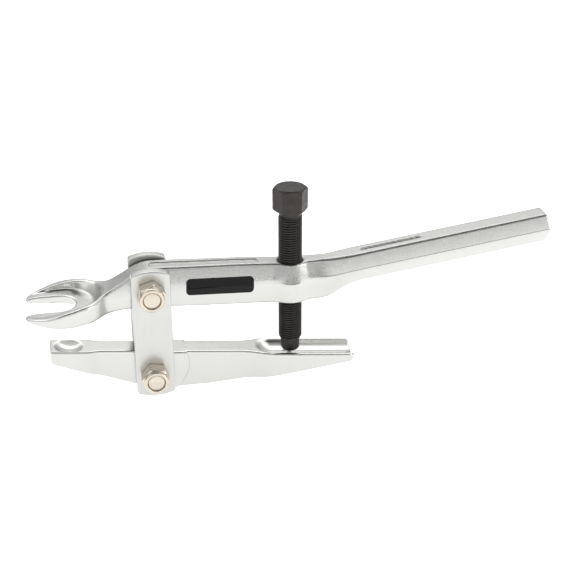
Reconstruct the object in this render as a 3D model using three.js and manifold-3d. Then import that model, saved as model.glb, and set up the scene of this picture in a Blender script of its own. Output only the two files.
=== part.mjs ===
// Ball joint separator: a forged lever with an open fork, a forged lower arm hung from it by
// two side links, and a forcing screw that pushes the arm's tail down so that its tip rises.
// Units are millimetres. X runs along the tool from fork to handle, Y is the tool's thickness,
// Z runs up the forcing screw. While building, the screw's axis is X = 0, Y = 0 and Z = 0 lies
// 1.9 mm below the top of the boss that it is threaded through.

import * as THREE from 'three';
import { mergeVertices } from 'three/addons/utils/BufferGeometryUtils.js';
import Module from 'manifold-3d';

const wasm = await Module();
wasm.setup();

// ---- driving dimensions ------------------------------------------------------------------

const GAP = 0.3; // clearance between pieces that touch

const SCREW_DIAMETER = 14; // M14 x 1.5 forcing screw
const SCREW_CREST = SCREW_DIAMETER - 0.1;
const SCREW_HEX = 18; // across flats
const SCREW_TOP = 47.2;
const SCREW_HEAD_BOTTOM = 33.3;
const SCREW_NECK_DIAMETER = 12.3;
const SCREW_THREAD_TOP = 30.4;
const SCREW_THREAD_BOTTOM = -48.6;
const SCREW_DOG_DIAMETER = 11.2;
const SCREW_DOG_BOTTOM = -56.9;
const SCREW_DOG_CHAMFER = 1.8;
const SCREW_CHAMFER = 0.9;
const BALL_DIAMETER = 8;
const BALL_BOTTOM = -58.8;
const BALL_LIP = 7.2; // mouth of the socket that carries the ball

const PIVOT_X = -82.8; // both pivots stand above each other
const UPPER_PIVOT_Z = -5.6;
const PIVOT_SPACING = 53;
const LOWER_PIVOT_Z = UPPER_PIVOT_Z - PIVOT_SPACING;
const BOLT_DIAMETER = 10; // M10 pivot bolts
const BOLT_HEX = 14.5;
const BOLT_HEAD_HEIGHT = 6.4;
const PIVOT_BORE = BOLT_DIAMETER + 2 * GAP;

const LINK_WIDTH = 22.2;
const LINK_X = -82.5;
const LINK_DROP = 0.5; // centre of a link below the middle of its two pivots
const LINK_HEIGHT = 80.2;
const LINK_THICKNESS = 5.8;
const LINK_INNER_Y = 8.7; // half the space between the two links
const LINK_END_SAGITTA = 2.3;
const LINK_END_BULGE = 1.6; // control point of the arched end, above its crown
const LINK_CORNER = 2.2;
const LINK_OUTER_Y = LINK_INNER_Y + LINK_THICKNESS;

const NUT_HEX_HEIGHT = 7.2;
const NUT_HEIGHT = 10;
const NUT_COLLAR_DIAMETER = 14.1;
const NUT_MOUTH = 11;
const NUT_EDGE = 0.9; // chamfer of the collar's front edge
const RING_OUTER = 12.4;
const RING_THICKNESS = 1.7;
const RING_INSET = 0.8; // the collar's crimped lip in front of the ring
const BOLT_END_INSET = 0.6; // the bolt's end sits this far inside the nut's front
const UPPER_NUT_TURN = 17.5; // degrees from a corner pointing along X
const LOWER_NUT_TURN = 51.5;

const FORK_TIP_X = -153.3;
const SLOT_HALF_WIDTH = 10; // fork opening 20 mm
const SLOT_END_X = -124.5;
const LEDGE_Z = -14.3;
const RECESS_CENTRE_X = -132.5;
const RECESS_RADIUS = 18;
const NECK_HALF_WIDTH = 8.3;
const BAR_HALF_WIDTH = 7.6;
const BOSS_RADIUS = 11.4;
const BOSS_TOP = 1.9;
const BOSS_BOTTOM = -22.5;
const SINK_RADIUS = 8.4; // countersink at the top of the boss

const HANDLE_START_X = 26;
const HANDLE_START_HALF = 7.2;
const HANDLE_END_X = 154.6;
const HANDLE_PITCH = 8; // degrees that the handle rises
const HANDLE_MID_X = 40;
const HANDLE_MID_Z = -4;
const HANDLE_HEIGHT = 15.9;
const HANDLE_FLAT_HALF = 6.3;
const HANDLE_RIDGE_HALF = 10.5;
const HANDLE_END_SLANT = 1.6;

const ARM_TIP_X = -141.6;
const ARM_TAIL_X = 38;
const ARM_TOP_AT_SCREW = -55.6;
const ARM_PITCH = 0.1025; // fall of the arm's top per mm of length
const ARM_TIP_HALF = 8.5;
const ARM_NECK_HALF = 6.7;
const ARM_PAD_HALF = 8.3;
const ARM_TAIL_HALF = 11.4;
const ARM_PAD_START_X = -93;
const ARM_PAD_END_X = -62;
const ARM_BOTTOM = -72.6;
const DIMPLE_X = -131;
const DIMPLE_RADIUS = 8;
const DIMPLE_DEPTH = 2.2;
const CHANNEL_START_X = -20.3;
const CHANNEL_HALF = 8.8;
const CHANNEL_DEPTH = 3.5;

const LABEL_LENGTH = 39.2;
const LABEL_HEIGHT = 10;
const LABEL_THICKNESS = 0.4;
const LABEL_X = -42.4;
const LABEL_Z = -7.7;
const LABEL_TILT = 2.4; // degrees, along the bar
const LABEL_CORNER = 2.5;

const ROUND = 40; // sides of a turned piece
const BORE = 36; // sides of a bore
const OVERRUN = 10; // how far a cutting shape reaches past what it cuts
const CUT_TOP = 30; // heights and width that clear the whole tool
const CUT_BOTTOM = -90;
const CUT_HALF_WIDTH = 30;

// ---- booleans and shapes ---------------------------------------------------------------------

function solid(geometry) {
  const bare = geometry.index ? geometry.toNonIndexed() : geometry.clone();
  bare.deleteAttribute('normal');
  bare.deleteAttribute('uv');
  const merged = mergeVertices(bare, 1e-4);
  const vertProperties = new Float32Array(merged.attributes.position.array);
  const triVerts = new Uint32Array(merged.index.array);
  return new wasm.Manifold(new wasm.Mesh({ numProp: 3, vertProperties, triVerts }));
}

function toGeometry(manifold) {
  const mesh = manifold.getMesh();
  const geometry = new THREE.BufferGeometry();
  geometry.setAttribute('position', new THREE.BufferAttribute(mesh.vertProperties, 3));
  geometry.setIndex(new THREE.BufferAttribute(mesh.triVerts, 1));
  return geometry;
}

// A shape drawn in X and Z, as thick as its two Y limits say.
function sideSlab(shape, lowY, highY, curveSegments = 12) {
  const settings = { depth: highY - lowY, bevelEnabled: false, curveSegments };
  const geometry = new THREE.ExtrudeGeometry(shape, settings);
  geometry.rotateX(Math.PI / 2);
  geometry.translate(0, highY, 0);
  return solid(geometry);
}

// A shape drawn in X and Y, as tall as its two Z limits say.
function planSlab(shape, lowZ, highZ, curveSegments = 12) {
  const settings = { depth: highZ - lowZ, bevelEnabled: false, curveSegments };
  const geometry = new THREE.ExtrudeGeometry(shape, settings);
  geometry.translate(0, 0, lowZ);
  return solid(geometry);
}

function polygon(points) {
  return new THREE.Shape(points.map(([x, y]) => new THREE.Vector2(x, y)));
}

// Points of a smooth curve through the given ones.
function smooth(points, count) {
  const curve = new THREE.SplineCurve(points.map(([x, y]) => new THREE.Vector2(x, y)));
  return curve.getPoints(count).map((p) => [p.x, p.y]);
}

// An outline mirrored about y = 0 from its upper half, given from left to right.
function mirrored(half) {
  const lower = half.map(([x, y]) => [x, -y]);
  return polygon([...lower, ...half.slice().reverse()]);
}

function roundedRectangle(width, height, radius) {
  const w = width / 2;
  const h = height / 2;
  const shape = new THREE.Shape();
  shape.moveTo(-w + radius, -h);
  shape.lineTo(w - radius, -h);
  shape.absarc(w - radius, -h + radius, radius, -Math.PI / 2, 0);
  shape.absarc(w - radius, h - radius, radius, 0, Math.PI / 2);
  shape.absarc(-w + radius, h - radius, radius, Math.PI / 2, Math.PI);
  shape.absarc(-w + radius, -h + radius, radius, Math.PI, 1.5 * Math.PI);
  return shape;
}

// A turned solid about Z; the profile lists [radius, z] upwards and starts and ends on the axis.
function turned(profile, segments = ROUND) {
  const points = profile.map(([r, z]) => new THREE.Vector2(r, z));
  return solid(new THREE.LatheGeometry(points, segments).rotateX(Math.PI / 2));
}

function rod(radius, lowZ, highZ, segments = ROUND) {
  return turned([[0, lowZ], [radius, lowZ], [radius, highZ], [0, highZ]], segments);
}

// A hexagon with a corner pointing along X.
function hexPrism(acrossFlats, lowZ, highZ) {
  return rod(acrossFlats / Math.sqrt(3), lowZ, highZ, 6).rotate([0, 0, 30]);
}

// The same, with its axis along -Y through the pivot at the given height. Local Z becomes -Y.
function alongPivot(manifold, pivotZ) {
  return manifold.rotate([90, 0, 0]).translate([PIVOT_X, 0, pivotZ]);
}

function pivotBore(pivotZ) {
  return alongPivot(rod(PIVOT_BORE / 2, -CUT_HALF_WIDTH, CUT_HALF_WIDTH, BORE), pivotZ);
}

// ---- upper lever -------------------------------------------------------------------------------

function handleLine(x) {
  return HANDLE_MID_Z + (x - HANDLE_MID_X) * Math.tan(THREE.MathUtils.degToRad(HANDLE_PITCH));
}

function leverSideOutline() {
  const half = HANDLE_HEIGHT / 2;
  const endX = HANDLE_END_X - HANDLE_END_SLANT;
  const endZ = handleLine(HANDLE_END_X);
  const forkTop = smooth([
    [FORK_TIP_X, -15.7], [-150, -14.7], [-140, -12.7], [-131, -10.3], [-122, -9.1],
    [-114, -8.4], [-106, -5.9], [-98, -1.2], [-91, 3.4], [-84, 5.9], [-76, 5.7],
  ], 26);
  const barTop = [[-30, 3.7], [-14, 2.8], [-8, BOSS_TOP], [14, BOSS_TOP], [24, 2]];
  const handleTop = [[34, handleLine(34) + half], [endX, endZ + half]];
  const handleEnd = [[HANDLE_END_X, endZ + 1.5], [HANDLE_END_X, endZ - 1.5]];
  const handleBottom = [[endX, endZ - half], [HANDLE_MID_X, HANDLE_MID_Z - half]];
  const heel = smooth([[35, -13.8], [30, -16.7], [25, -20.7], [19, -22.3], [8, -22.7]], 10);
  const barBottom = [[-8, BOSS_BOTTOM], [-50, -20.3], [-76, -18.6]];
  const forkBottom = smooth([
    [-86, -18.1], [-97, -18.2], [-106, -19.3], [-116, -19.8], [-140, -18.9], [-150, -18],
    [FORK_TIP_X, -17.4],
  ], 14);
  return polygon([
    ...forkTop, ...barTop, ...handleTop, ...handleEnd, ...handleBottom,
    ...heel, ...barBottom, ...forkBottom,
  ].reverse());
}

function leverPlanOutline() {
  const fork = smooth([
    [FORK_TIP_X, 13.2], [-151.5, 16], [-148, 18.8], [-141, 22.8], [-134, 24.1], [-126, 23.1],
    [-117, 20], [-109, 14.2], [-103, 9.9], [-97, NECK_HALF_WIDTH],
  ], 24);
  const bar = [[-72, NECK_HALF_WIDTH], [-58, BAR_HALF_WIDTH + 0.2], [-18, BAR_HALF_WIDTH]];
  const boss = [];
  for (let degrees = 132; degrees >= 44; degrees -= 11) {
    const angle = THREE.MathUtils.degToRad(degrees);
    boss.push([BOSS_RADIUS * Math.cos(angle), BOSS_RADIUS * Math.sin(angle)]);
  }
  const shoulder = [[15, BAR_HALF_WIDTH], [HANDLE_START_X, HANDLE_START_HALF]];
  return mirrored([...fork, ...bar, ...boss, ...shoulder]);
}

// The handle's six-sided section, narrowed where it grows out of the bar and rounded at its end.
function handlePrism() {
  const h = HANDLE_HEIGHT / 2;
  const start = HANDLE_START_X - 8;
  const section = polygon([
    [-HANDLE_RIDGE_HALF, 0], [-HANDLE_FLAT_HALF, -h], [HANDLE_FLAT_HALF, -h],
    [HANDLE_RIDGE_HALF, 0], [HANDLE_FLAT_HALF, h], [-HANDLE_FLAT_HALF, h],
  ]);
  const length = HANDLE_END_X - start + OVERRUN;
  const geometry = new THREE.ExtrudeGeometry(section, { depth: length, bevelEnabled: false });
  geometry.rotateX(Math.PI / 2);
  geometry.rotateZ(Math.PI / 2);
  geometry.rotateY(-THREE.MathUtils.degToRad(HANDLE_PITCH));
  geometry.translate(start, 0, handleLine(start));
  const flare = smooth([
    [HANDLE_START_X + 3, 8.2], [HANDLE_START_X + 9, 10], [HANDLE_START_X + 15, HANDLE_RIDGE_HALF],
  ], 4);
  const plan = mirrored([
    [start - 5, HANDLE_START_HALF], [HANDLE_START_X, HANDLE_START_HALF], ...flare,
    [HANDLE_END_X - 2, HANDLE_RIDGE_HALF], [HANDLE_END_X + 1, HANDLE_RIDGE_HALF - 2],
  ]);
  return solid(geometry).intersect(planSlab(plan, CUT_BOTTOM, CUT_TOP));
}

function forkSlot() {
  const shape = new THREE.Shape();
  const centre = SLOT_END_X - SLOT_HALF_WIDTH;
  shape.moveTo(FORK_TIP_X - OVERRUN, -SLOT_HALF_WIDTH);
  shape.lineTo(centre, -SLOT_HALF_WIDTH);
  shape.absarc(centre, 0, SLOT_HALF_WIDTH, -Math.PI / 2, Math.PI / 2);
  shape.lineTo(FORK_TIP_X - OVERRUN, SLOT_HALF_WIDTH);
  return planSlab(shape, CUT_BOTTOM, CUT_TOP, 16);
}

// The stepped seat around the fork's slot.
function forkRecess() {
  const seat = new THREE.Shape();
  seat.moveTo(FORK_TIP_X - OVERRUN, -RECESS_RADIUS + 7);
  seat.lineTo(RECESS_CENTRE_X - 12, -RECESS_RADIUS + 1.2);
  seat.absarc(RECESS_CENTRE_X, 0, RECESS_RADIUS, -2, 2);
  seat.lineTo(RECESS_CENTRE_X - 12, RECESS_RADIUS - 1.2);
  seat.lineTo(FORK_TIP_X - OVERRUN, RECESS_RADIUS - 7);
  return planSlab(seat, LEDGE_Z, CUT_TOP, 16);
}

function upperLever() {
  const body = planSlab(leverPlanOutline(), CUT_BOTTOM, CUT_TOP);
  const sink = turned([
    [0, BOSS_TOP - 1], [SINK_RADIUS - 1.1, BOSS_TOP - 1], [SINK_RADIUS, BOSS_TOP + 0.1],
    [0, BOSS_TOP + 0.1],
  ], BORE);
  return sideSlab(leverSideOutline(), -CUT_HALF_WIDTH, CUT_HALF_WIDTH)
    .intersect(body.add(handlePrism()))
    .subtract(forkSlot())
    .subtract(forkRecess())
    .subtract(pivotBore(UPPER_PIVOT_Z))
    .subtract(rod(SCREW_DIAMETER / 2 + GAP, CUT_BOTTOM, CUT_TOP, BORE))
    .subtract(sink);
}

// ---- lower arm ---------------------------------------------------------------------------------

function armTop(x) {
  return ARM_TOP_AT_SCREW - ARM_PITCH * x;
}

function armSideOutline() {
  return polygon([
    [ARM_TIP_X, -48.6], [-139.5, -50.3], [-95, -67.9], [-86, -71.3], [-78, ARM_BOTTOM],
    [-50, ARM_BOTTOM], [-18, -70.4], [33, -64.2], [ARM_TAIL_X - 0.8, -63.6], [ARM_TAIL_X, -62.4],
    [ARM_TAIL_X, armTop(ARM_TAIL_X)], [ARM_TIP_X + 0.8, armTop(ARM_TIP_X)],
    [ARM_TIP_X, armTop(ARM_TIP_X) - 0.8],
  ]);
}

function armPlanOutline() {
  const tipToNeck = smooth([[-121, ARM_TIP_HALF], [-117.5, 7.5], [-113, ARM_NECK_HALF]], 5);
  const neckToTail = smooth([[-29, ARM_NECK_HALF], [-22, 8.6], [-16, 10.9], [-9, ARM_TAIL_HALF]], 7);
  return mirrored([
    [ARM_TIP_X, 7.2], [ARM_TIP_X + 1.3, ARM_TIP_HALF], ...tipToNeck,
    [ARM_PAD_START_X, ARM_NECK_HALF], [ARM_PAD_START_X, ARM_PAD_HALF],
    [ARM_PAD_END_X - 2, ARM_PAD_HALF], [ARM_PAD_END_X, ARM_NECK_HALF],
    ...neckToTail, [ARM_TAIL_X - 2, ARM_TAIL_HALF], [ARM_TAIL_X, ARM_TAIL_HALF - 2],
  ]);
}

// The radius of a round cut of the given half width and depth.
function cutRadius(half, depth) {
  return (half ** 2 + depth ** 2) / (2 * depth);
}

// The round trough in the tail's top, with a ball end inwards and open at the outer end.
function tailTrough() {
  const radius = cutRadius(CHANNEL_HALF, CHANNEL_DEPTH);
  const start = CHANNEL_START_X + CHANNEL_HALF;
  const fall = THREE.MathUtils.radToDeg(Math.atan(ARM_PITCH));
  const bar = rod(radius, 0, ARM_TAIL_X - start + OVERRUN, BORE).rotate([0, 90, 0]);
  const end = solid(new THREE.SphereGeometry(radius, BORE, BORE / 2).rotateX(Math.PI / 2));
  return bar.add(end)
    .rotate([0, fall, 0])
    .translate([start, 0, armTop(start) + radius - CHANNEL_DEPTH]);
}

// The blind dish in the arm's tip.
function tipDimple() {
  const radius = cutRadius(DIMPLE_RADIUS, DIMPLE_DEPTH);
  const ball = solid(new THREE.SphereGeometry(radius, 48, 32));
  return ball.translate([DIMPLE_X, 0, armTop(DIMPLE_X) + radius - DIMPLE_DEPTH]);
}

function lowerArm() {
  return sideSlab(armSideOutline(), -CUT_HALF_WIDTH, CUT_HALF_WIDTH)
    .intersect(planSlab(armPlanOutline(), CUT_BOTTOM, CUT_TOP))
    .subtract(tailTrough())
    .subtract(tipDimple())
    .subtract(pivotBore(LOWER_PIVOT_Z));
}

// ---- links, bolts and nuts ---------------------------------------------------------------------

function linkOutline() {
  const w = LINK_WIDTH / 2;
  const h = LINK_HEIGHT / 2;
  const c = LINK_CORNER;
  const edge = h - LINK_END_SAGITTA;
  const middle = h + LINK_END_BULGE;
  const rise = 0.7; // where the corner meets the arched end
  const shape = new THREE.Shape();
  shape.moveTo(-w, -edge + c);
  shape.quadraticCurveTo(-w, -edge, -w + c, -edge - rise);
  shape.quadraticCurveTo(0, -middle, w - c, -edge - rise);
  shape.quadraticCurveTo(w, -edge, w, -edge + c);
  shape.lineTo(w, edge - c);
  shape.quadraticCurveTo(w, edge, w - c, edge + rise);
  shape.quadraticCurveTo(0, middle, -w + c, edge + rise);
  shape.quadraticCurveTo(-w, edge, -w, edge - c);
  return shape;
}

function link(side) {
  const near = side * LINK_INNER_Y;
  const far = side * LINK_OUTER_Y;
  const midZ = (UPPER_PIVOT_Z + LOWER_PIVOT_Z) / 2 - LINK_DROP;
  return sideSlab(linkOutline(), Math.min(near, far), Math.max(near, far), 8)
    .translate([LINK_X, 0, midZ])
    .subtract(pivotBore(UPPER_PIVOT_Z))
    .subtract(pivotBore(LOWER_PIVOT_Z));
}

// A cone that takes the corners off a hexagon at the height of its outer face.
function hexChamfer(acrossFlats, lowZ, topZ) {
  const flat = acrossFlats * 0.48;
  const wide = acrossFlats * 0.62;
  const drop = (wide - flat) * Math.tan(Math.PI / 6);
  return turned([[0, lowZ], [wide, lowZ], [wide, topZ - drop], [flat, topZ], [0, topZ]], ROUND);
}

// The head sits behind the rear link, the end stops inside the nut in front.
function pivotBolt(pivotZ) {
  const underHead = -LINK_OUTER_Y - GAP;
  const headTop = underHead - BOLT_HEAD_HEIGHT;
  const end = LINK_OUTER_Y + GAP + NUT_HEIGHT - BOLT_END_INSET;
  const head = hexPrism(BOLT_HEX, headTop, underHead)
    .intersect(hexChamfer(BOLT_HEX, -underHead, -headTop).rotate([180, 0, 0]));
  const r = BOLT_DIAMETER / 2;
  const inHead = underHead - 1;
  const shank = turned([[0, inHead], [r, inHead], [r, end - 1], [r - 1, end], [0, end]]);
  return alongPivot(head.add(shank), pivotZ);
}

function lockNut(pivotZ, turn) {
  const base = LINK_OUTER_Y + GAP;
  const front = base + NUT_HEIGHT;
  const step = base + NUT_HEX_HEIGHT;
  const collar = NUT_COLLAR_DIAMETER / 2;
  const seatTop = front - RING_INSET;
  const seatBottom = seatTop - RING_THICKNESS - 2 * GAP;
  const hexagon = hexPrism(BOLT_HEX, base, step).intersect(hexChamfer(BOLT_HEX, base, step + 0.4));
  const rim = turned([
    [0, step - 1], [collar, step - 1], [collar, front - NUT_EDGE], [collar - NUT_EDGE, front],
    [0, front],
  ]);
  const ringSeat = rod(RING_OUTER / 2 + GAP, seatBottom, seatTop, BORE);
  return alongPivot(hexagon.rotate([0, 0, turn]).add(rim)
    .subtract(rod(PIVOT_BORE / 2, base - 1, front, BORE))
    .subtract(rod(NUT_MOUTH / 2, seatTop - 0.1, front + 1, BORE))
    .subtract(ringSeat), pivotZ);
}

// The locking ring is gripped between the collar's lip and the nut's body.
function nutRing(pivotZ) {
  const front = LINK_OUTER_Y + GAP + NUT_HEIGHT - RING_INSET - GAP;
  const ring = rod(RING_OUTER / 2, front - RING_THICKNESS, front)
    .subtract(rod(PIVOT_BORE / 2, front - 5, front + 1, BORE));
  return alongPivot(ring, pivotZ);
}

// ---- forcing screw -----------------------------------------------------------------------------

function spindle() {
  const crest = SCREW_CREST / 2;
  const neck = SCREW_NECK_DIAMETER / 2;
  const dog = SCREW_DOG_DIAMETER / 2;
  const c = SCREW_CHAMFER;
  const head = hexPrism(SCREW_HEX, SCREW_HEAD_BOTTOM, SCREW_TOP)
    .intersect(hexChamfer(SCREW_HEX, SCREW_HEAD_BOTTOM, SCREW_TOP));
  const shank = turned([
    [0, SCREW_DOG_BOTTOM], [dog - SCREW_DOG_CHAMFER, SCREW_DOG_BOTTOM],
    [dog, SCREW_DOG_BOTTOM + SCREW_DOG_CHAMFER],
    [dog, SCREW_THREAD_BOTTOM - 0.6], [crest - c, SCREW_THREAD_BOTTOM - 0.6],
    [crest, SCREW_THREAD_BOTTOM + c], [crest, SCREW_THREAD_TOP - c], [neck, SCREW_THREAD_TOP],
    [neck, SCREW_HEAD_BOTTOM + 1], [0, SCREW_HEAD_BOTTOM + 1],
  ]);
  const ball = BALL_DIAMETER / 2;
  const socket = solid(new THREE.SphereGeometry(ball + GAP, 32, 24))
    .translate([0, 0, BALL_BOTTOM + ball]);
  const mouth = rod(BALL_LIP / 2, SCREW_DOG_BOTTOM - 1, SCREW_DOG_BOTTOM + 0.6, BORE);
  return head.add(shank).subtract(socket).subtract(mouth);
}

function thrustBall() {
  const ball = BALL_DIAMETER / 2;
  return solid(new THREE.SphereGeometry(ball, 24, 16)).translate([0, 0, BALL_BOTTOM + ball]);
}

// ---- label -------------------------------------------------------------------------------------

function sideLabel() {
  const front = -BAR_HALF_WIDTH - 0.2 - GAP;
  const shape = roundedRectangle(LABEL_LENGTH, LABEL_HEIGHT, LABEL_CORNER);
  return sideSlab(shape, front - LABEL_THICKNESS, front, 5)
    .rotate([0, LABEL_TILT, 0])
    .translate([LABEL_X, 0, LABEL_Z]);
}

// ---- materials and assembly --------------------------------------------------------------------

function material(color, roughness, metalness) {
  return new THREE.MeshStandardMaterial({ color, roughness, metalness });
}

const satinChrome = material(0xc9c9c4, 0.32, 1);
const plateChrome = material(0xd2d3cd, 0.36, 1);
const paleGold = material(0xd9c9a4, 0.3, 1);
const blackOxide = material(0x2e2b29, 0.45, 0.7);
const ballSteel = material(0x9a9a98, 0.2, 1);
const nylon = material(0xd8d3c4, 0.6, 0);
const labelBlack = material(0x1c1c1e, 0.4, 0);

const pieces = [
  ['upper_lever', upperLever(), satinChrome],
  ['lower_arm', lowerArm(), satinChrome],
  ['front_link', link(-1), plateChrome],
  ['rear_link', link(1), plateChrome],
  ['upper_pivot_bolt', pivotBolt(UPPER_PIVOT_Z), paleGold],
  ['lower_pivot_bolt', pivotBolt(LOWER_PIVOT_Z), paleGold],
  ['upper_lock_nut', lockNut(UPPER_PIVOT_Z, UPPER_NUT_TURN), paleGold],
  ['lower_lock_nut', lockNut(LOWER_PIVOT_Z, LOWER_NUT_TURN), paleGold],
  ['upper_nut_ring', nutRing(UPPER_PIVOT_Z), nylon],
  ['lower_nut_ring', nutRing(LOWER_PIVOT_Z), nylon],
  ['spindle', spindle(), blackOxide],
  ['thrust_ball', thrustBall(), ballSteel],
  ['side_label', sideLabel(), labelBlack],
];

const tool = new THREE.Group();
for (const [name, manifold, finish] of pieces) {
  const mesh = new THREE.Mesh(toGeometry(manifold), finish);
  mesh.name = name;
  tool.add(mesh);
}

// The origin is the middle of the footprint, at the lowest point.
const bounds = new THREE.Box3().setFromObject(tool);
const centre = bounds.getCenter(new THREE.Vector3());
tool.position.set(-centre.x, -centre.y, -bounds.min.z);

export default tool;
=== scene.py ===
"""Ball joint separator: the fine surfaces, materials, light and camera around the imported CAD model.

The forged pieces and plates are signed distance fields, meshed by surface nets. The screw, nuts, bolts
and ball are grids of rings round an axis. Shapes are worked out in millimetres in the tool's own
coordinates: X = 0, Y = 0 is the screw's axis and Z = 0 lies 1.9 mm below the top of the lever's boss.
"""

import math

import bpy
import numpy as np
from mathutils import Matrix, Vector


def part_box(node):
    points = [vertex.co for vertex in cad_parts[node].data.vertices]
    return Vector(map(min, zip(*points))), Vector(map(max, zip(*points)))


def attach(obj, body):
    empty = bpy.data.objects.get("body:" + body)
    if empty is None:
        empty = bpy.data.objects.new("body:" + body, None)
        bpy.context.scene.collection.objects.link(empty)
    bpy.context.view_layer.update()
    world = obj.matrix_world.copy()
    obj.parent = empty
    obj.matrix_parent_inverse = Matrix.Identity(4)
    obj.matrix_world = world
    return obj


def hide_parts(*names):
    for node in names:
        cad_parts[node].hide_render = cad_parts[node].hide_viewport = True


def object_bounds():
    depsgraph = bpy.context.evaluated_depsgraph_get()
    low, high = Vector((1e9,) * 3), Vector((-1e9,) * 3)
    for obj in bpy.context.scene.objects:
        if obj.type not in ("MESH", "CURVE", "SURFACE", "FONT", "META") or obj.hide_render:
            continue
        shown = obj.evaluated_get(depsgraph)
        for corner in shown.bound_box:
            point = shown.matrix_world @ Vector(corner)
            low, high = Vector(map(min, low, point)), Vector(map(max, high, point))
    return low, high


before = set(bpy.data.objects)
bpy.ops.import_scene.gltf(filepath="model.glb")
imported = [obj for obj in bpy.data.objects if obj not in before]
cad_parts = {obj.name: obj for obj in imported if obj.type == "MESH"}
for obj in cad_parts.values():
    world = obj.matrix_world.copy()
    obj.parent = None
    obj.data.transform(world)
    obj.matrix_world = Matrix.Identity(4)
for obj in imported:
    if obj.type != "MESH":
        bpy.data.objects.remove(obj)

CAD_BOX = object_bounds()
MM = 0.001

# ---- dimensions, in millimetres ------------------------------------------------------------------

SCREW_TOP = 47.2
SCREW_HEAD_BOTTOM = 33.3
SCREW_HEX = 18.0
SCREW_HEX_TURN = -2
SCREW_CREST = 6.95
SCREW_ROOT = 6.08
SCREW_PITCH = 1.5
SCREW_NECK = 6.15
SCREW_THREAD_TOP = 30.4
SCREW_THREAD_BOTTOM = -48.6
SCREW_DOG = 5.6
SCREW_DOG_BOTTOM = -56.9
BALL_RADIUS = 4.0
BALL_BOTTOM = -58.8

PIVOT_X = -82.8
LINK_X = -82.5
LINK_DROP = 0.5
UPPER_PIVOT_Z = -5.6
LOWER_PIVOT_Z = -58.6
BOLT_RADIUS = 5.0
BOLT_HEX = 14.5
HEX_CORNER_CUT = 0.105
BOLT_HEAD = 6.4
BORE_RADIUS = 5.2

LINK_HALF_WIDTH = 11.1
LINK_HEIGHT = 80.2
LINK_INNER_Y = 8.7
LINK_OUTER_Y = 14.5
LINK_END_RADIUS = 29.0

NUT_BASE = 14.8
NUT_STEP = 22.0
NUT_FRONT = 24.8
NUT_COLLAR = 7.05
NUT_MOUTH = 5.15
RING_FRONT = 23.7
RING_BACK = 22.0
BOLT_END = 24.2
BOLT_END_RADIUS = 4.3
UPPER_NUT_TURN = 17.5  # degrees from a corner pointing along X
LOWER_NUT_TURN = 51.5

FORK_TIP = -153.3
SLOT_HALF = 10.0
SLOT_CENTRE = -134.5
LEDGE = -14.3
SEAT_CENTRE = -132.5
SEAT_RADIUS = 18.0
BOSS_RADIUS = 11.4
BAR_GROOVE = (-81.8, -19.5, 2.2, 0.6)  # start, end, half width, depth
HANDLE_GROOVE = (42.1, 78.7, 1.2, 0.9)
HANDLE_END = 156.2

ARM_TIP = -141.6
ARM_TAIL = 38.0
ARM_TOP_AT_SCREW = -55.6
ARM_FALL = 0.1025
DIMPLE_X = -131.0
DIMPLE_RADIUS = 8.0
DIMPLE_DEPTH = 2.3
CHANNEL_START = -20.3
CHANNEL_HALF = 8.8
CHANNEL_DEPTH = 3.5

low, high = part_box("spindle")
ORIGIN = Vector(((low.x + high.x) / 2, (low.y + high.y) / 2, high.z - SCREW_TOP * MM))


# ---- distance fields -----------------------------------------------------------------------------

def both(a, b, radius):
    """Inside a and b, with the edge between them rounded."""
    corner = np.hypot(np.maximum(a + radius, 0), np.maximum(b + radius, 0))
    return np.minimum(np.maximum(a, b), -radius) + corner


def either(a, b, radius):
    """Inside a or b, with a fillet between them."""
    corner = np.hypot(np.maximum(radius - a, 0), np.maximum(radius - b, 0))
    return np.maximum(np.minimum(a, b), radius) - corner


def without(a, b, radius):
    """Inside a and not in b, with the rim rounded."""
    return both(a, -b, radius)


def line(points, soften):
    """A smooth function of x through points, whose corners are softened over that many millimetres."""
    pitch = 0.2
    px, py = zip(*points)
    x = np.arange(px[0], px[-1] + pitch, pitch)
    y = np.interp(x, px, py)
    reach = int(3 * soften / pitch) + 1
    weights = np.exp(-0.5 * (np.arange(-reach, reach + 1) * pitch / soften) ** 2)
    padded = np.pad(y, reach, mode="reflect", reflect_type="odd")
    y = np.convolve(padded, weights / weights.sum(), mode="valid")
    slope = np.gradient(y, pitch)
    return lambda at: (np.interp(at, x, y), np.interp(at, x, slope))


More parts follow.
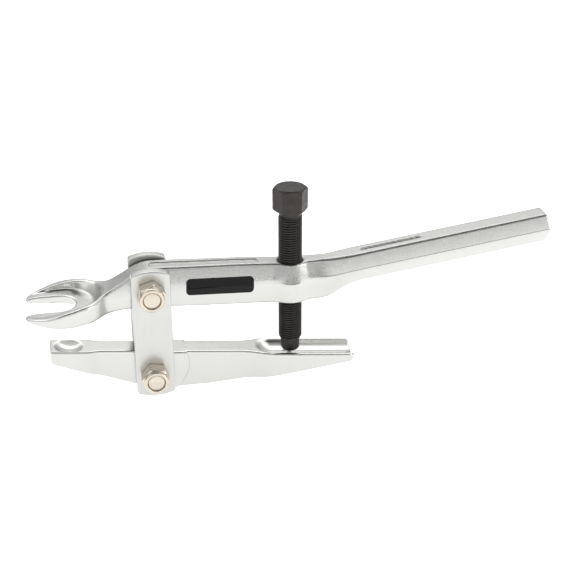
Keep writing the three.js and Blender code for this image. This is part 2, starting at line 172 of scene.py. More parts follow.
def surface_nets(field, low, high, step):
    """Points and four-cornered faces on the field's zero level."""
    axes = [np.arange(a - 1.5 * step, b + 2.5 * step, step) for a, b in zip(low, high)]
    x, y, z = np.ix_(*axes)
    value = np.asarray(field(x, y, z) + 0 * (x + y + z), np.float32)
    inside = value < 0
    cells = tuple(n - 1 for n in value.shape)
    corners = [(i, j, k) for i in (0, 1) for j in (0, 1) for k in (0, 1)]
    filled = np.zeros(cells, np.int8)
    for i, j, k in corners:
        filled += inside[i:i + cells[0], j:j + cells[1], k:k + cells[2]]
    active = (filled > 0) & (filled < 8)
    cell = np.argwhere(active)
    total = np.zeros((len(cell), 3))
    hits = np.zeros(len(cell))
    for a in corners:
        for axis in range(3):
            if a[axis] == 1:
                continue
            b = tuple(c + (n == axis) for n, c in enumerate(a))
            va = value[tuple((cell + a).T)]
            vb = value[tuple((cell + b).T)]
            crosses = (va < 0) != (vb < 0)
            share = np.where(crosses, va / np.where(crosses, va - vb, 1), 0)
            point = np.array(a, float) + share[:, None] * (np.array(b) - np.array(a))
            total += point * crosses[:, None]
            hits += crosses
    start = np.array([axis[0] for axis in axes])
    points = start + (cell + total / hits[:, None]) * step
    number = np.full(cells, -1, np.int64)
    number[active] = np.arange(len(cell))
    faces = []
    for axis in range(3):
        u, v = (axis + 1) % 3, (axis + 2) % 3
        here = [slice(1, -1)] * 3
        there = [slice(1, -1)] * 3
        here[axis], there[axis] = slice(0, -1), slice(1, None)
        first, second = inside[tuple(here)], inside[tuple(there)]
        at = np.argwhere(first != second)
        leaving = first[tuple(at.T)]
        at[:, u] += 1
        at[:, v] += 1
        ring = []
        for du, dv in ((-1, -1), (0, -1), (0, 0), (-1, 0)):
            shifted = at.copy()
            shifted[:, u] += du
            shifted[:, v] += dv
            ring.append(number[tuple(shifted.T)])
        quad = np.stack(ring, 1)
        quad[~leaving] = quad[~leaving][:, ::-1]
        faces.append(quad)
    return points, np.concatenate(faces)


def settle(field, points, reach):
    """Moves points onto the field's zero level."""
    nudge = 0.02
    for _ in range(4):
        value = field(*points.T)
        slope = np.stack([
            field(*(points + nudge * np.eye(3)[n]).T) - field(*(points - nudge * np.eye(3)[n]).T)
            for n in range(3)
        ], 1) / (2 * nudge)
        move = -slope * (value / np.maximum((slope ** 2).sum(1), 1e-3))[:, None]
        length = np.linalg.norm(move, axis=1, keepdims=True)
        points = points + move * np.minimum(1, reach / np.maximum(length, 1e-9))
    return points


def relax(points, faces):
    """Each point moves to the middle of its neighbours."""
    total = np.zeros_like(points)
    count = np.zeros(len(points))
    for n in range(4):
        for other in (faces[:, (n + 1) % 4], faces[:, (n + 3) % 4]):
            np.add.at(total, faces[:, n], points[other])
            np.add.at(count, faces[:, n], 1)
    return total / count[:, None]


# ---- meshes --------------------------------------------------------------------------------------

def make_object(name, points, faces, sharp=None):
    """A mesh from tool millimetres, in place in the frame."""
    mesh = bpy.data.meshes.new(name)
    placed = np.asarray(points) * MM + np.array(ORIGIN)
    mesh.from_pydata(placed.tolist(), [], [list(map(int, f)) for f in faces])
    mesh.shade_smooth()
    if sharp is not None:
        mesh.set_sharp_from_angle(angle=math.radians(sharp))
    mesh.validate()
    piece = bpy.data.objects.new(name, mesh)
    bpy.context.scene.collection.objects.link(piece)
    return piece


def carve(name, field, low, high, step, rounds=2):
    """A closed piece from a distance field that is negative inside."""
    points, faces = surface_nets(field, low, high, step)
    points = settle(field, points, step)
    for _ in range(rounds):
        points = 0.5 * points + 0.5 * relax(points, faces)
        points = settle(field, points, 0.5 * step)
    return make_object(name, points, faces)


def rings_mesh(name, rows, angles, to_tool, closed, sharp=30):
    """A piece made of rings: each row is (height along the axis, radius at each angle)."""
    points = []
    for height, radius in rows:
        radius = np.broadcast_to(radius, angles.shape)
        heights = np.full(angles.shape, height)
        points.append(np.stack([radius * np.cos(angles), radius * np.sin(angles), heights], 1))
    points = np.concatenate(points)
    n = len(angles)
    faces = []
    count = len(rows)
    last = count if closed else count - 1
    for r in range(last):
        a, b = r * n, (r + 1) % count * n
        for i in range(n):
            j = (i + 1) % n
            faces.append((a + i, a + j, b + j, b + i))
    if not closed:
        faces.append(tuple(reversed(range(n))))
        faces.append(tuple(range((count - 1) * n, count * n)))
    return make_object(name, to_tool(points), faces, sharp)


def upright(points):
    return points


def towards_viewer(pivot_z):
    """Local Z becomes -Y through a pivot."""
    return lambda p: np.stack([p[:, 0] + PIVOT_X, -p[:, 2], p[:, 1] + pivot_z], 1)


def even_angles(count):
    return np.arange(count) * 2 * math.pi / count


def hexagon_angles(turn, between=14):
    """Angles with more rings of points close to the six corners."""
    share = np.linspace(-1, 1, between + 1)[:-1]
    eased = np.sign(share) * (1 - (1 - np.abs(share)) ** 1.7)
    side = 30 + 30 * eased
    degrees = np.concatenate([side + 60 * n for n in range(6)]) + turn
    return np.radians(degrees)


def hexagon_radius(angles, across, turn):
    """The radius of a hexagon with a corner at angle turn and a hair taken off its corners."""
    from_middle = (np.degrees(angles) - turn) % 60 - 30
    flat = across / 2 / np.cos(np.radians(from_middle))
    return np.minimum(flat, across / math.sqrt(3) - HEX_CORNER_CUT)


# ---- upper lever ---------------------------------------------------------------------------------

lever_top = line([
    (-158, -16.9), (-155, -16.0), (-150, -14.7), (-140, -12.7), (-131, -10.3), (-122, -9.0),
    (-114, -8.4), (-106, -5.9), (-98, -1.2), (-91, 3.4), (-84, 5.9), (-76, 5.7), (-30, 3.7),
    (-14, 2.6), (-8, 1.9), (14, 1.9), (23, 2.1), (30, 3.0), (40, 4.3), (160, 21.1),
], 2.0)
lever_bottom = line([
    (-158, -16.9), (-150, -17.9), (-140, -18.7), (-128, -19.5), (-114, -19.8), (-106, -19.3),
    (-97, -18.2), (-86, -18.1), (-76, -18.6), (-50, -20.3), (-12, -22.2), (-6, -22.5), (8, -22.7),
    (19, -22.6), (25, -20.9), (30, -17.3), (35, -14.8), (41, -13.1), (160, 3.7),
], 1.6)
lever_ridge = line([
    (-158, -17.4), (-125, -17.0), (-112, -14.5), (-100, -9.5), (-88, -6.2), (-70, -6.4), (-20, -9),
    (0, -10), (14, -9.8), (24, -7.7), (32, -5.6), (40, -4.4), (160, 12.5),
], 3.0)
lever_half = line([
    (-158, 8.6), (-155, 11.9), (-152.5, 15), (-148, 18.9), (-141, 22.8), (-134, 24.0), (-126, 23.0),
    (-117, 19.3), (-112, 14.5), (-108, 10.4), (-104.5, 8.7), (-97, 8.2), (-72, 8.4), (-58, 8.5),
    (-18, 8.3), (13, 7.9), (18, 8.3), (24, 9.5), (30, 10.3), (36, 10.5), (160, 10.5),
], 1.5)
lever_draft = line([
    (-158, 0.08), (-95, 0.09), (-70, 0.10), (-20, 0.13), (14, 0.14), (24, 0.26), (34, 0.45),
    (43, 0.525), (160, 0.525),
], 3.0)


lever_upper_draft = line([
    (-158, 0.08), (-95, 0.12), (-70, 0.18), (-20, 0.22), (14, 0.26), (20, 0.40), (26, 0.50),
    (32, 0.525), (160, 0.525),
], 2.0)


def lever_sides(x, y, z):
    """The drafted sides on both sides of the parting line, with the boss grown out of them."""
    half, half_slope = lever_half(x)
    draft, _ = lever_draft(x)
    ridge, _ = lever_ridge(x)
    steep = np.sqrt(1 + half_slope ** 2 + draft ** 2)
    upper_draft, _ = lever_upper_draft(x)
    above = (np.abs(y) - half + upper_draft * (z - ridge)) / steep
    below = (np.abs(y) - half - draft * (z - ridge)) / steep
    sides = both(above, below, 0.9)
    boss = np.hypot(x, y) - BOSS_RADIUS + np.maximum(0.3 * (z - ridge), 0.1 * (ridge - z))
    return either(sides, boss, 3.5)


def fork_slot(x, y, z):
    return np.where(x < SLOT_CENTRE, np.abs(y), np.hypot(x - SLOT_CENTRE, y)) - SLOT_HALF + 0 * z


def fork_seat(x, y, z):
    """The stepped recess round the slot: upright walls along the prongs, a sloping one at the neck."""
    lean = np.interp(x, (-128, -113), (0.1, 0.75))
    narrowing = 0.2 * np.maximum(-137 - x, 0)
    radius = SEAT_RADIUS - narrowing + lean * (z - LEDGE)
    wall = np.where(x < SEAT_CENTRE, np.abs(y), np.hypot(x - SEAT_CENTRE, y)) - radius
    return both(wall / np.sqrt(1 + lean ** 2), LEDGE - z, 0.8)


def top_groove(x, y, z, surface, start, end, half, depth):
    """A shallow long recess in the lever's top, with nearly square ends."""
    along = np.abs(x - (start + end) / 2) - (end - start) / 2
    across = np.abs(y) - half
    return both(both(along, across, 0.6), surface - depth - z, 0.12)


def lever_field(x, y, z):
    top, top_slope = lever_top(x)
    bottom, bottom_slope = lever_bottom(x)
    ridge, _ = lever_ridge(x)
    upper = (z - top) / np.sqrt(1 + top_slope ** 2)
    lower = (bottom - z) / np.sqrt(1 + bottom_slope ** 2)
    edge = np.interp(x, (-150, -120, -90, 20, 45), (0.8, 1.3, 1.5, 1.5, 1.1))
    body = both(lever_sides(x, y, z), upper, edge)
    under = np.interp(x, (-150, -115, -95), (2.2, 2.0, 1.5)) + 0 * z
    body = both(body, lower, np.where(x < -95, under, edge))
    end = x - HANDLE_END + 0.22 * np.abs(z - ridge)
    body = both(body, end, 1.2)
    body = both(body, FORK_TIP - x, 1.5)
    body = without(body, fork_slot(x, y, z), 0.9)
    body = without(body, fork_seat(x, y, z), 0.7)
    body = without(body, top_groove(x, y, z, top, *BAR_GROOVE), 0.08)
    body = without(body, top_groove(x, y, z, top, *HANDLE_GROOVE), 0.08)
    body = without(body, np.hypot(x - PIVOT_X, z - UPPER_PIVOT_Z) - BORE_RADIUS + 0 * y, 0.4)
    bore = np.hypot(x, y) - 7.15 + 0 * z
    sink = (np.hypot(x, y) - 7.0 - (z - 0.9)) / math.sqrt(2)
    return without(body, np.minimum(bore, sink), 0.25)


# ---- lower arm -----------------------------------------------------------------------------------

arm_bottom = line([
    (-145, -47.6), (-141.6, -49.0), (-95, -67.9), (-86, -71.3), (-78, -72.5), (-50, -72.6),
    (-30, -71.2), (-23, -70.9), (-17, -70.6), (0, -68.6), (33, -64.5), (42, -63.4),
], 1.4)
arm_half = line([
    (-145, 5.4), (-141.6, 7.4), (-139.8, 8.5), (-121, 8.5), (-118.5, 8.1), (-115, 6.9), (-112, 6.5),
    (-60, 6.9), (-29, 7.0), (-23, 8.2), (-17, 10.1), (-10, 11.1), (0, 11.3), (35.4, 11.5),
    (38, 9.2), (42, 5),
], 0.8)
PAD_X = -82.5
PAD_Z = -56.0
PAD_RADIUS = 20.6
PAD_HALF = 8.35


def arm_field(x, y, z):
    bottom, bottom_slope = arm_bottom(x)
    half, half_slope = arm_half(x)
    surface = ARM_TOP_AT_SCREW - ARM_FALL * x
    upper = (z - surface) / math.sqrt(1 + ARM_FALL ** 2)
    lower = (bottom - z) / np.sqrt(1 + bottom_slope ** 2)
    sides = (np.abs(y) - half) / np.sqrt(1 + half_slope ** 2) + 0 * z
    pad_edge = np.maximum(np.hypot(x - PAD_X, z - PAD_Z) - PAD_RADIUS, -92.5 - x)
    sides = np.minimum(sides, both(np.abs(y) - PAD_HALF + 0 * x, pad_edge, 0.5))
    body = both(sides, upper, 1.0)
    body = both(body, lower, 0.9)
    body = both(body, x - ARM_TAIL + 0 * y, 1.0)
    body = both(body, ARM_TIP - x + 0 * y, 0.9)
    trough = (CHANNEL_HALF ** 2 + CHANNEL_DEPTH ** 2) / (2 * CHANNEL_DEPTH)
    inward = np.minimum(x - CHANNEL_START - CHANNEL_HALF, 0)
    above = z - surface - trough + CHANNEL_DEPTH
    body = without(body, np.sqrt(inward ** 2 + y ** 2 + above ** 2) - trough, 0.9)
    dish = (DIMPLE_RADIUS ** 2 + DIMPLE_DEPTH ** 2) / (2 * DIMPLE_DEPTH)
    above = z - surface - dish + DIMPLE_DEPTH
    body = without(body, np.sqrt((x - DIMPLE_X) ** 2 + y ** 2 + above ** 2) - dish, 0.3)
    return without(body, np.hypot(x - PIVOT_X, z - LOWER_PIVOT_Z) - BORE_RADIUS + 0 * y, 0.4)


# ---- links and label -----------------------------------------------------------------------------

def link_field(side):
    middle_z = (UPPER_PIVOT_Z + LOWER_PIVOT_Z) / 2 - LINK_DROP
    centre_y = side * (LINK_INNER_Y + LINK_OUTER_Y) / 2
    thick = (LINK_OUTER_Y - LINK_INNER_Y) / 2

    def field(x, y, z):
        across = np.abs(x - LINK_X) - LINK_HALF_WIDTH
        height = np.abs(z - middle_z) - LINK_HEIGHT / 2 + LINK_END_RADIUS
        ends = np.hypot(x - LINK_X, np.maximum(height, 0)) - LINK_END_RADIUS
        plate = both(across + 0 * z, ends, 1.5)
        plate = both(plate, np.abs(y - centre_y) - thick, 0.7)
        for pivot_z in (UPPER_PIVOT_Z, LOWER_PIVOT_Z):
            hole = np.hypot(x - PIVOT_X, z - pivot_z) - BORE_RADIUS
            plate = without(plate, hole + 0 * y, 0.3)
        return plate

    return field


LABEL_X = -42.4
LABEL_Z = -7.7
LABEL_LIFT = 0.3
LABEL_HALF = (19.6, 5.0)
LABEL_TILT = math.radians(2.4)


def label_field(x, y, z):
    """A thin plate with rounded corners that lies along the bar's side."""
    along = (x - LABEL_X) * math.cos(LABEL_TILT) - (z - LABEL_Z) * math.sin(LABEL_TILT)
    up = (x - LABEL_X) * math.sin(LABEL_TILT) + (z - LABEL_Z) * math.cos(LABEL_TILT)
    outline = both(np.abs(along) - LABEL_HALF[0], np.abs(up) - LABEL_HALF[1], 2.4)
    ridge, _ = lever_ridge(x)
    above = lever_upper_draft(x)[0] * (z - ridge)
    below = lever_draft(x)[0] * (ridge - z)
    side = lever_half(x)[0] - np.maximum(above, below)
    return both(outline, np.abs(y + side + LABEL_LIFT) - 0.18, 0.12)


# ---- turned pieces -------------------------------------------------------------------------------

def thread_radius(angles, height):
    """A 60 degree thread: flat crests, sloping flanks and round roots, run out at both ends."""
    phase = (height / SCREW_PITCH - angles / (2 * math.pi)) % 1
    distance = np.abs(phase - 0.5) * 2
    depth = np.clip((distance - 0.16) / 0.62, 0, 1)
    depth = depth * depth * (3 - 2 * depth)
    into = min(height - SCREW_THREAD_BOTTOM, SCREW_THREAD_TOP - height)
    fade = np.clip(into / 1.2, 0, 1)
    crest = SCREW_CREST - 0.9 * (1 - np.clip(into / 0.9, 0, 1))
    return crest - (SCREW_CREST - SCREW_ROOT) * depth * fade


def spindle_rows(angles):
    hexagon = hexagon_radius(angles, SCREW_HEX, SCREW_HEX_TURN)
    rows = [(SCREW_DOG_BOTTOM, 3.55), (SCREW_DOG_BOTTOM, 3.8)]
    for step in range(7):
        turn = math.radians(15 * step)
        rows.append((SCREW_DOG_BOTTOM + 1.8 - 1.8 * math.cos(turn), 3.8 + 1.8 * math.sin(turn)))
    rows.append((SCREW_THREAD_BOTTOM - 1.5, SCREW_DOG))
    rows.append((SCREW_THREAD_BOTTOM - 0.9, SCREW_DOG + 0.1))
    rows.append((SCREW_THREAD_BOTTOM - 0.6, SCREW_DOG + 0.45))
    turns = (SCREW_THREAD_TOP - SCREW_THREAD_BOTTOM) / SCREW_PITCH
    for height in np.linspace(SCREW_THREAD_BOTTOM, SCREW_THREAD_TOP, int(turns * 10) + 1):
        rows.append((height, thread_radius(angles, height)))
    neck_end = SCREW_HEAD_BOTTOM - 0.8
    rows.append((SCREW_THREAD_TOP + 0.3, SCREW_NECK - 0.1))
    rows.append((neck_end, SCREW_NECK))
    for step in range(1, 5):
        turn = math.radians(22.5 * step)
        rows.append((neck_end + 0.8 * math.sin(turn), SCREW_NECK + 0.8 - 0.8 * math.cos(turn)))
    rows.append((SCREW_HEAD_BOTTOM, 8.5))
    for radius in np.linspace(8.7, 10.4, 7):
        rows.append((SCREW_HEAD_BOTTOM + (radius - 8.7) * 0.4, np.minimum(hexagon, radius)))
    for radius in np.linspace(10.4, 8.7, 10):
        rows.append((SCREW_TOP - 0.25 - (radius - 8.7) * 0.577, np.minimum(hexagon, radius)))
    rows.append((SCREW_TOP - 0.08, 8.5))
    rows.append((SCREW_TOP, 8.2))
    return rows


def make_spindle():
    angles = hexagon_angles(SCREW_HEX_TURN)
    return rings_mesh("spindle_fine", spindle_rows(angles), angles, upright, closed=False, sharp=38)


def nut_rows(angles, turn):
    hexagon = hexagon_radius(angles, BOLT_HEX, turn)
    corner, flat = BOLT_HEX / math.sqrt(3), BOLT_HEX / 2
    rows = [(NUT_BASE, 5.4), (NUT_BASE, flat - 0.15)]
    for radius in np.linspace(flat, corner, 6):
        rows.append((NUT_BASE + (radius - flat) * 0.3, np.minimum(hexagon, radius)))
    for radius in np.linspace(corner, flat + 0.05, 8):
        rows.append((NUT_STEP + 0.4 - (radius - flat) * 0.6, np.minimum(hexagon, radius)))
    rows.append((NUT_STEP + 0.6, NUT_COLLAR + 0.08))
    rows.append((NUT_STEP + 0.9, NUT_COLLAR))
    for step in range(0, 9):
        turn_in = math.radians(11.25 * step)
        height = NUT_FRONT - 1.0 + 1.0 * math.sin(turn_in)
        rows.append((height, NUT_COLLAR - 0.8 + 0.8 * math.cos(turn_in)))
    for step in range(1, 7):
        turn_in = math.radians(15 * step)
        height = NUT_FRONT - 0.4 + 0.4 * math.cos(turn_in)
        rows.append((height, NUT_MOUTH + 0.4 - 0.4 * math.sin(turn_in)))
    rows.append((RING_FRONT + 0.1, NUT_MOUTH))
    rows.append((RING_FRONT + 0.1, 6.4))
    rows.append((RING_BACK - 0.1, 6.4))
    rows.append((RING_BACK - 0.1, 5.4))
    return rows


def make_nut(name, pivot_z, turn):
    angles = hexagon_angles(turn)
    rows = nut_rows(angles, turn)
    return rings_mesh(name, rows, angles, towards_viewer(pivot_z), closed=True, sharp=38)


def make_ring(name, pivot_z):
    rows = [(RING_BACK, 5.08), (RING_BACK, 6.3), (RING_FRONT, 6.3), (RING_FRONT, 5.3)]
    for step in range(1, 5):
        turn = math.radians(22.5 * step)
        rows.append((RING_FRONT - 0.2 + 0.2 * math.cos(turn), 5.3 - 0.2 * math.sin(turn)))
    return rings_mesh(name, rows, even_angles(64), towards_viewer(pivot_z), closed=True)


def bolt_rows(angles):
    hexagon = hexagon_radius(angles, BOLT_HEX, 0)
    top = -NUT_BASE - BOLT_HEAD
    corner, flat = BOLT_HEX / math.sqrt(3), BOLT_HEX / 2
    rows = [(top + 0.25, 3.8), (top + 0.2, 4.1), (top, 4.5), (top, flat - 0.5)]
    for radius in np.linspace(flat - 0.3, corner, 8):
        rows.append((top + 0.1 + (radius - flat + 0.3) * 0.577, np.minimum(hexagon, radius)))
    for radius in np.linspace(corner, flat, 4):
        rows.append((-NUT_BASE - (radius - flat) * 0.3, np.minimum(hexagon, radius)))
    rows.append((-NUT_BASE, 6.0))
    rows.append((-NUT_BASE + 0.3, 5.4))
    rows.append((-NUT_BASE + 0.9, BOLT_RADIUS))
    rows.append((BOLT_END - 0.6, BOLT_RADIUS))
    rows.append((BOLT_END - 0.3, BOLT_RADIUS - 0.2))
    rows.append((BOLT_END - 0.08, BOLT_END_RADIUS + 0.2))
    rows.append((BOLT_END, BOLT_END_RADIUS))
    return rows


def make_bolt(name, pivot_z):
    angles = hexagon_angles(0)
    rows = bolt_rows(angles)
    return rings_mesh(name, rows, angles, towards_viewer(pivot_z), closed=False, sharp=38)


def make_ball():
    rows = []
    for step in range(1, 36):
        turn = math.pi * step / 36
        rows.append((BALL_BOTTOM + BALL_RADIUS * (1 - math.cos(turn)), BALL_RADIUS * math.sin(turn)))
    return rings_mesh("thrust_ball_fine", rows, even_angles(72), upright, closed=False, sharp=None)


# ---- materials -----------------------------------------------------------------------------------

class Nodes:
    """A short way to write a node material on object coordinates."""

    def __init__(self, name):
        self.material = bpy.data.materials.new(name)
        self.material.use_nodes = True
        self.tree = self.material.node_tree
        self.shader = self.tree.nodes["Principled BSDF"]
        self.place = self.tree.nodes.new("ShaderNodeTexCoord").outputs["Object"]

    def link(self, a, b):
        self.tree.links.new(a, b)

    def noise(self, scale, detail=3.0, roughness=0.55, stretch=None):
        source = self.place
        if stretch:
            mapping = self.tree.nodes.new("ShaderNodeMapping")
            mapping.inputs["Scale"].default_value = stretch
            self.link(source, mapping.inputs["Vector"])
            source = mapping.outputs["Vector"]
        node = self.tree.nodes.new("ShaderNodeTexNoise")
        node.inputs["Scale"].default_value = scale
        node.inputs["Detail"].default_value = detail
        node.inputs["Roughness"].default_value = roughness
        self.link(source, node.inputs["Vector"])
        return node.outputs["Fac"]

    def remap(self, value, low, high, start=0.3, end=0.7):
        node = self.tree.nodes.new("ShaderNodeMapRange")
        node.inputs["From Min"].default_value = start
        node.inputs["From Max"].default_value = end
        node.inputs["To Min"].default_value = low
        node.inputs["To Max"].default_value = high
        self.link(value, node.inputs["Value"])
        return node.outputs["Result"]

    def blend(self, share, first, second):
        node = self.tree.nodes.new("ShaderNodeMix")
        node.data_type = "RGBA"
        node.inputs["A"].default_value = (*first, 1)
        node.inputs["B"].default_value = (*second, 1)
        self.link(share, node.inputs["Factor"])
        return node.outputs["Result"]

    def mix(self, share, first, second):
        node = self.tree.nodes.new("ShaderNodeMix")
        node.data_type = "RGBA"
        for socket, value in (("A", first), ("B", second), ("Factor", share)):
            self.link(value, node.inputs[socket])
        return node.outputs["Result"]

    def math(self, operation, first, second):
        node = self.tree.nodes.new("ShaderNodeMath")
        node.operation = operation
        for socket, value in zip(node.inputs, (first, second)):
            if isinstance(value, (int, float)):
                socket.default_value = value
            else:
                self.link(value, socket)
        return node.outputs[0]

    def above_parting_line(self):
        """From 0 at 2 mm below the lever's parting line to 1 at 9 mm above it.

        The line rises with the handle.
        """
        split = self.tree.nodes.new("ShaderNodeSeparateXYZ")
        self.link(self.place, split.inputs[0])
        rising = self.math("MULTIPLY_ADD", split.outputs["X"], PARTING_LINE_SLOPE)
        rising.node.inputs[2].default_value = PARTING_LINE_AT_SCREW
        level = self.math("MAXIMUM", rising, PARTING_LINE_OF_BAR)
        height = self.math("SUBTRACT", split.outputs["Z"], level)
        return self.remap(height, 0, 1, -0.002, 0.009)

    def bump(self, height, distance, strength=1.0, under=None):
        node = self.tree.nodes.new("ShaderNodeBump")
        node.inputs["Distance"].default_value = distance
        node.inputs["Strength"].default_value = strength
        self.link(height, node.inputs["Height"])
        if under:
            self.link(under, node.inputs["Normal"])
        return node.outputs["Normal"]

    def finish(self, colour, roughness, normal=None, **numbers):
        self.link(colour, self.shader.inputs["Base Color"])
        self.link(roughness, self.shader.inputs["Roughness"])
        if normal:
            self.link(normal, self.shader.inputs["Normal"])
        for socket, number in numbers.items():
            self.shader.inputs[socket.replace("_", " ")].default_value = number
        return self.material


PARTING_LINE_AT_SCREW = 0.0632  # heights in metres, as object coordinates are
PARTING_LINE_OF_BAR = 0.0641
PARTING_LINE_SLOPE = 0.1405  # of the handle
FLOOR_GLOW = 0.56


def satin_chrome():
    n = Nodes("satin_chrome")
    smooth = n.blend(n.noise(55, 4), (0.575, 0.575, 0.556), (0.62, 0.62, 0.605))
    # The mask below is 0 under the parting line and 1 above it. Above the line the colour is painted
    # darker as painted shade for the dark sky that the upper facet faces, and the roughness and pits
    # there give the real grainy finish.
    blasted_grain_and_shade = n.above_parting_line()
    # Darker grey for the upper facet: painted shade laid over the tone of the real grainy finish.
    dull_grey_and_painted_shade = n.blend(n.noise(800, 4), (0.36, 0.36, 0.348), (0.56, 0.56, 0.545))
    colour = n.mix(blasted_grain_and_shade, smooth, dull_grey_and_painted_shade)
    fine = n.remap(n.noise(140, 5), 0.17, 0.23)
    coarse = n.math("MULTIPLY", blasted_grain_and_shade, n.remap(n.noise(620, 4), 0.08, 0.20))
    rough = n.math("ADD", fine, coarse)
    waves = n.bump(n.noise(60, 2), 0.0004, 0.08)
    skin = n.bump(n.noise(1300, 3), 0.00005, 0.35, waves)
    pits = n.math("MULTIPLY", blasted_grain_and_shade, n.noise(900, 3))
    grain = n.bump(pits, 0.00016, 0.8, skin)
    return n.finish(colour, rough, grain, Metallic=1.0)


def plate_chrome():
    n = Nodes("plate_chrome")
    colour = n.blend(n.noise(45, 3), (0.555, 0.557, 0.537), (0.59, 0.592, 0.572))
    rough = n.remap(n.noise(500, 3, stretch=(1, 1, 0.06)), 0.26, 0.34)
    grain = n.bump(n.noise(1800, 2, stretch=(1, 1, 0.1)), 0.00003, 0.35)
    return n.finish(colour, rough, grain, Metallic=1.0)


def pale_gold():
    n = Nodes("pale_gold")
    colour = n.blend(n.noise(420, 4), (0.58, 0.52, 0.44), (0.66, 0.60, 0.51))
    rough = n.remap(n.noise(600, 3), 0.17, 0.29)
    grain = n.bump(n.noise(1400, 3), 0.00004, 0.35)
    return n.finish(colour, rough, grain, Metallic=1.0)


def black_oxide():
    n = Nodes("black_oxide")
    colour = n.blend(n.noise(260, 5), (0.030, 0.027, 0.026), (0.060, 0.054, 0.050))
    rough = n.remap(n.noise(420, 4), 0.36, 0.52)
    grain = n.bump(n.noise(2200, 3), 0.00003, 0.5)
    return n.finish(colour, rough, grain, Metallic=0.75)


def ball_steel():
    n = Nodes("ball_steel")
    colour = n.blend(n.noise(300, 3), (0.50, 0.50, 0.49), (0.60, 0.60, 0.60))
    rough = n.remap(n.noise(800, 3), 0.10, 0.18)
    return n.finish(colour, rough, None, Metallic=1.0)


def nylon():
    n = Nodes("nylon")
    colour = n.blend(n.noise(500, 3), (0.66, 0.62, 0.52), (0.74, 0.70, 0.60))
    rough = n.remap(n.noise(900, 3), 0.45, 0.6)
    return n.finish(colour, rough, None, Metallic=0.0)


def label_black():
    n = Nodes("label_black")
    colour = n.blend(n.noise(700, 3), (0.004, 0.004, 0.004), (0.008, 0.008, 0.008))
    rough = n.remap(n.noise(1000, 3), 0.45, 0.55)
    return n.finish(colour, rough, None, Metallic=0.0, Specular_IOR_Level=0.2)


def floor_white():
    n = Nodes("floor_white")
    colour = n.blend(n.noise(3, 2), (0.90, 0.90, 0.90), (0.92, 0.92, 0.92))
    rough = n.remap(n.noise(5, 2), 0.8, 0.9)
    n.finish(colour, rough, None, Emission_Strength=FLOOR_GLOW)
    n.shader.inputs["Emission Color"].default_value = (1, 1, 1, 1)
    return n.material


# ---- assembling the pieces -----------------------------------------------------------------------

def dress(piece, material, body, slot, *nodes):
    piece.data.materials.clear()
    piece.data.materials.append(material)
    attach(piece, body)
    if nodes:
        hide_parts(*nodes)
    return piece


def build_pieces():
    fine = 0.5
    chrome = satin_chrome()
    plate = plate_chrome()
    gold = pale_gold()
    black = black_oxide()
    low, high = (FORK_TIP, -24.5, -22.8), (HANDLE_END, 24.5, 20.6)
    lever = carve("upper_lever_fine", lever_field, low, high, fine)
    dress(lever, chrome, "lever", "satin_chrome", "upper_lever")
    low, high = (ARM_TIP, -11.6, -72.8), (ARM_TAIL, 11.6, -40.8)
    arm = carve("lower_arm_fine", arm_field, low, high, fine)
    dress(arm, chrome, "arm", "satin_chrome", "lower_arm")
    for name, side in (("front_link", -1), ("rear_link", 1)):
        near, far = sorted((side * LINK_INNER_Y, side * LINK_OUTER_Y))
        low = (LINK_X - LINK_HALF_WIDTH, near, LOWER_PIVOT_Z - 14)
        high = (LINK_X + LINK_HALF_WIDTH, far, UPPER_PIVOT_Z + 14)
        link = carve(name + "_fine", link_field(side), low, high, 0.45)
        dress(link, plate, "links", "plate_chrome", name)
    pivots = (("upper", UPPER_PIVOT_Z, UPPER_NUT_TURN), ("lower", LOWER_PIVOT_Z, LOWER_NUT_TURN))
    for place, pivot_z, turn in pivots:
        nut = make_nut(place + "_lock_nut_fine", pivot_z, turn)
        dress(nut, gold, "links", "pale_gold", place + "_lock_nut")
        bolt = make_bolt(place + "_pivot_bolt_fine", pivot_z)
        dress(bolt, gold, "links", "pale_gold", place + "_pivot_bolt")
        ring = make_ring(place + "_nut_ring_fine", pivot_z)
        dress(ring, nylon(), "links", "nylon", place + "_nut_ring")
    dress(make_spindle(), black, "screw", "black_oxide", "spindle")
    dress(make_ball(), ball_steel(), "thrust_tip", "ball_steel", "thrust_ball")
    low, high = (-62.5, -8.6, -15), (-20.5, -5.6, -2)
    label = carve("side_label_fine", label_field, low, high, 0.2, rounds=0)
    dress(label, label_black(), "lever", "label_black", "side_label")


# ---- floor, light and camera ---------------------------------------------------------------------

FLOOR_DROP = 0.030  # metres below the tool at rest; only the lowered and swung arm still reaches it


def make_floor():
    size = 6.0
    mesh = bpy.data.meshes.new("floor")
    corners = [(-size, -size, 0), (size, -size, 0), (size, size, 0), (-size, size, 0)]
    mesh.from_pydata(corners, [], [(0, 1, 2, 3)])
    floor = bpy.data.objects.new("floor", mesh)
    bpy.context.scene.collection.objects.link(floor)
    floor.location.z = CAD_BOX[0].z - FLOOR_DROP
    mesh.materials.append(floor_white())


def soft_light(name, place, aim, size, power):
    lamp = bpy.data.lights.new(name, "AREA")
    lamp.shape = "DISK"
    lamp.size = size
    lamp.energy = power
    holder = bpy.data.objects.new(name, lamp)
    holder.location = place
    holder.rotation_euler = (Vector(aim) - Vector(place)).to_track_quat("-Z", "Y").to_euler()
    bpy.context.scene.collection.objects.link(holder)


def sky_ramp(tree, height, stops):
    ramp = tree.nodes.new("ShaderNodeValToRGB")
    tree.links.new(height, ramp.inputs["Fac"])
    ramp.color_ramp.elements[0].position = stops[0][0]
    ramp.color_ramp.elements[1].position = stops[-1][0]
    for position, _ in stops[1:-1]:
        ramp.color_ramp.elements.new(position)
    for element, (_, grey) in zip(ramp.color_ramp.elements, stops):
        element.color = (grey, grey, grey, 1)
    return ramp.outputs["Color"]


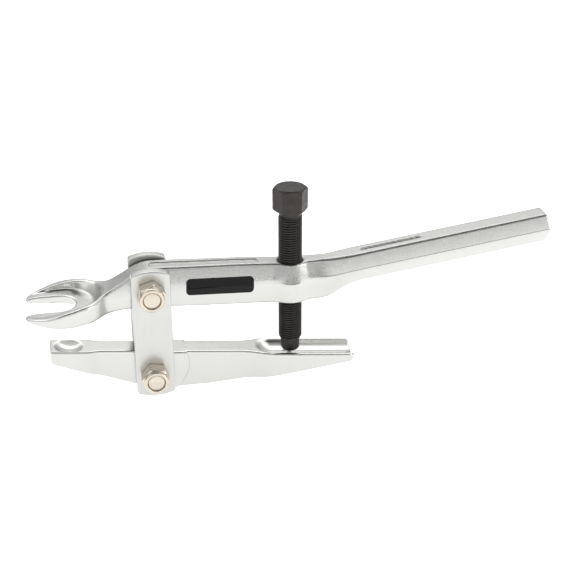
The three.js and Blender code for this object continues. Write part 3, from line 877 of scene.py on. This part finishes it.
def make_world():
    """A pale tent with its brightest panel high at the back and a dark gap overhead."""
    world = bpy.data.worlds.new("studio")
    bpy.context.scene.world = world
    world.use_nodes = True
    tree = world.node_tree
    place = tree.nodes.new("ShaderNodeTexCoord")
    split = tree.nodes.new("ShaderNodeSeparateXYZ")
    tree.links.new(place.outputs["Generated"], split.inputs[0])
    front = sky_ramp(tree, split.outputs["Z"], FRONT_SKY)
    back = sky_ramp(tree, split.outputs["Z"], BACK_SKY)
    share = tree.nodes.new("ShaderNodeMapRange")
    share.inputs["From Min"].default_value = -0.25
    share.inputs["From Max"].default_value = 0.15
    tree.links.new(split.outputs["Y"], share.inputs["Value"])
    mix = tree.nodes.new("ShaderNodeMix")
    mix.data_type = "RGBA"
    tree.links.new(share.outputs["Result"], mix.inputs["Factor"])
    tree.links.new(front, mix.inputs["A"])
    tree.links.new(back, mix.inputs["B"])
    tree.links.new(mix.outputs["Result"], tree.nodes["Background"].inputs["Color"])
    tree.nodes["Background"].inputs["Strength"].default_value = 1.0


FRONT_SKY = [(0.0, 0.40), (0.20, 0.45), (0.34, 1.35), (0.62, 1.2), (0.76, 0.15), (1.0, 0.08)]
BACK_SKY = [(0.0, 0.25), (0.10, 0.45), (0.28, 0.68), (0.46, 0.80), (0.62, 1.8), (0.84, 1.8), (0.95, 0.12)]
CAMERA_AZIMUTH = -10.9
CAMERA_ELEVATION = 26.4
CAMERA_DISTANCE = 0.6997
CAMERA_LENS = 75.0
CAMERA_AIM = (-2.5, -6.4, -13.6)


def make_camera():
    data = bpy.data.cameras.new("camera")
    data.lens = CAMERA_LENS
    data.sensor_width = 36.0
    data.clip_start = 0.05
    data.clip_end = 30
    camera = bpy.data.objects.new("camera", data)
    bpy.context.scene.collection.objects.link(camera)
    a, e = math.radians(CAMERA_AZIMUTH), math.radians(CAMERA_ELEVATION)
    back = Vector((math.sin(a) * math.cos(e), -math.cos(a) * math.cos(e), math.sin(e)))
    aim = ORIGIN + Vector(CAMERA_AIM) * MM
    camera.location = aim + back * CAMERA_DISTANCE
    camera.rotation_euler = (-back).to_track_quat("-Z", "Y").to_euler()
    bpy.context.scene.camera = camera


make_camera()
build_pieces()
make_floor()
make_world()
soft_light("behind", (0.1, 1.1, 1.3), (0, 0, 0), 1.2, 2.2)
soft_light("right_side", (1.05, -0.58, 0.35), (0, 0, 0.06), 0.45, 2.6)
bpy.context.scene.view_settings.view_transform = "Standard"
